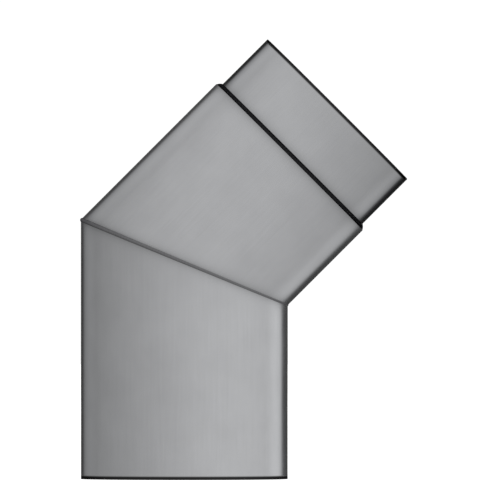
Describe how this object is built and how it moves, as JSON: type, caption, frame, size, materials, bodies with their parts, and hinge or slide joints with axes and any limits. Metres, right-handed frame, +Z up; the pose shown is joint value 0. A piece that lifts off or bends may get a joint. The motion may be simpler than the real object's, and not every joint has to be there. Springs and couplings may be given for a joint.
{
  "type": "flue elbow",
  "caption": "Mitred 45 degree flue elbow in welded steel tube: a calibrated socket mouth on the lower leg and a narrower plain spigot on the leaning leg.",
  "frame": {"origin": "centre of the socket mouth, on the rim that the elbow stands on", "axes": "+Z up the lower leg's axis into the elbow; the upper leg leans 45 degrees towards +X in the XZ plane; +Y is the far side, where the lengthwise seams are"},
  "size_m": [0.2415, 0.1538, 0.3246],
  "materials": {
    "leg_sheet": "satin mill-finish steel sheet, rolled, with a fine grain",
    "sleeve_sheet": "satin mill-finish steel sheet, rolled and joggled, with a fine grain",
    "mitre_bead": "dull grey weld bead, lightly oxidised",
    "collar_bead": "dark oxidised fillet weld",
    "seam_bead": "brushed-down weld seam"
  },
  "bodies": {
    "root": {"socket_leg": "leg_sheet", "socket_leg_seam_weld": "seam_bead", "spigot_leg": "leg_sheet", "spigot_leg_seam_weld": "seam_bead", "mitre_weld": "mitre_bead", "spigot_sleeve": "sleeve_sheet", "spigot_sleeve_seam_weld": "seam_bead", "collar_weld": "collar_bead"}
  },
  "joints": []
}
